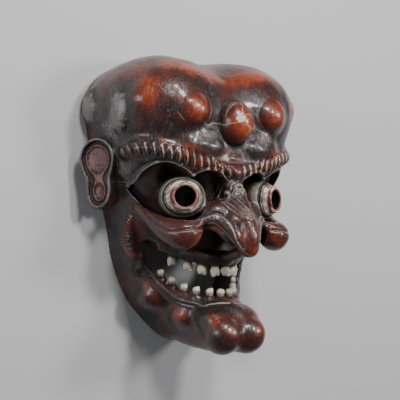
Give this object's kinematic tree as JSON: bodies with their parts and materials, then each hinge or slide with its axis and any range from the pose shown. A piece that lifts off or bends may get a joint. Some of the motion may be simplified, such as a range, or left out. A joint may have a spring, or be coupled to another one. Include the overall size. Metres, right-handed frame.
{
  "type": "carved lacquered wooden mask",
  "caption": "Grotesque carved wooden face mask, lacquered dark red-brown, with a knobbed crown, bulging pierced eyes, hooked nose, open toothed mouth and jutting chin.",
  "frame": {"origin": "middle of the mask's outline, on the plane of its flat back rim", "axes": "+Z the way the face looks, up from the surface the mask lies on; +Y towards the crown; +X towards the mask's own left ear"},
  "size_m": [0.2384, 0.2954, 0.1411],
  "materials": {
    "lacquered_wood": "aged dark brown and cinnabar red lacquer over carved wood, semi-gloss, worn on the raised edges"
  },
  "bodies": {
    "root": {"mask": "lacquered_wood"}
  },
  "joints": []
}
